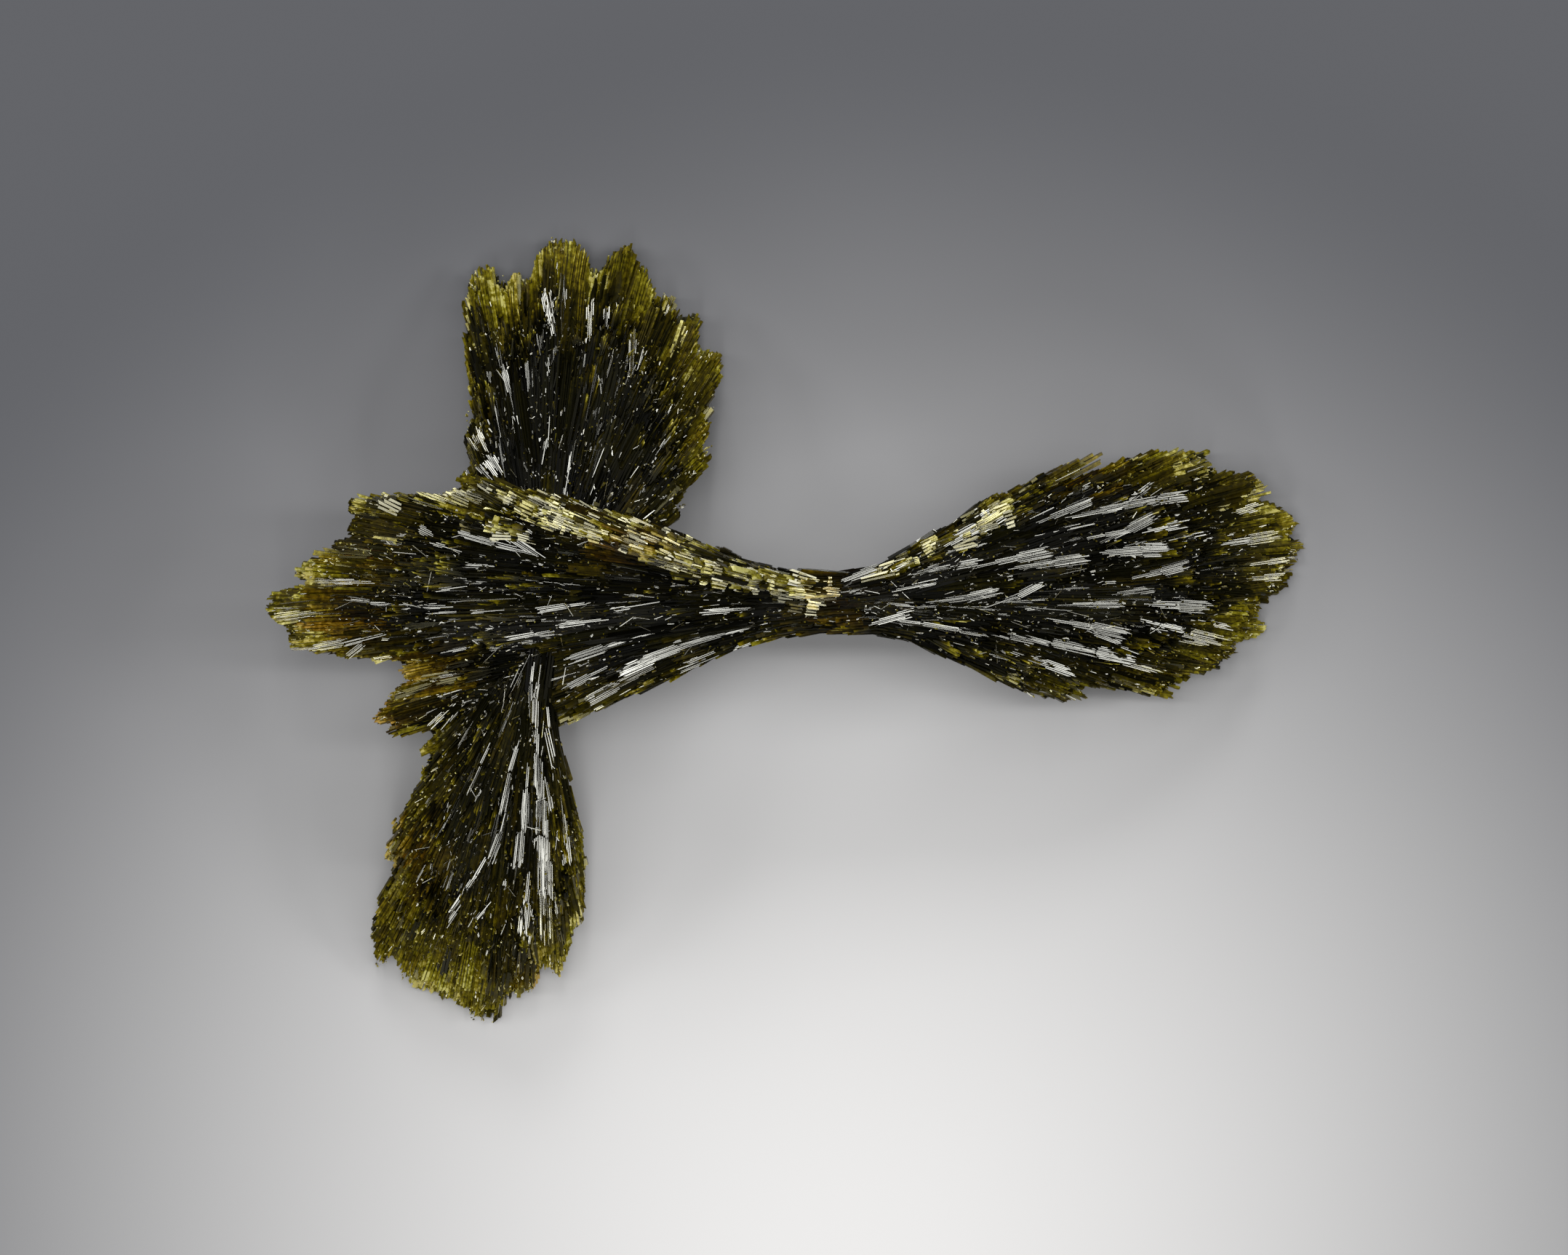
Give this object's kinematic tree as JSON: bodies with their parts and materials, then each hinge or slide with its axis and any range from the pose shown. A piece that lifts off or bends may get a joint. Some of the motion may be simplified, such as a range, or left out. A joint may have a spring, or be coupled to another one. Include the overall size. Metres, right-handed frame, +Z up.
{
  "type": "epidote specimen",
  "caption": "Cluster of bladed crystals: two bow-tie sheaves grown through one another, lying on its back.",
  "frame": {"origin": "on the plane that the specimen lies on, below the middle of its outline seen from above", "axes": "+X along the long bow tie towards its single fan, +Y along the crossing bow tie towards the fan that leans back, +Z up, away from the surface it lies on"},
  "size_m": [0.0722, 0.0548, 0.0189],
  "materials": {
    "epidote": "glassy, striated crystal faces, blackish green with pistachio to yellow-green tips"
  },
  "bodies": {
    "root": {"epidote_crystals": "epidote"}
  },
  "joints": []
}
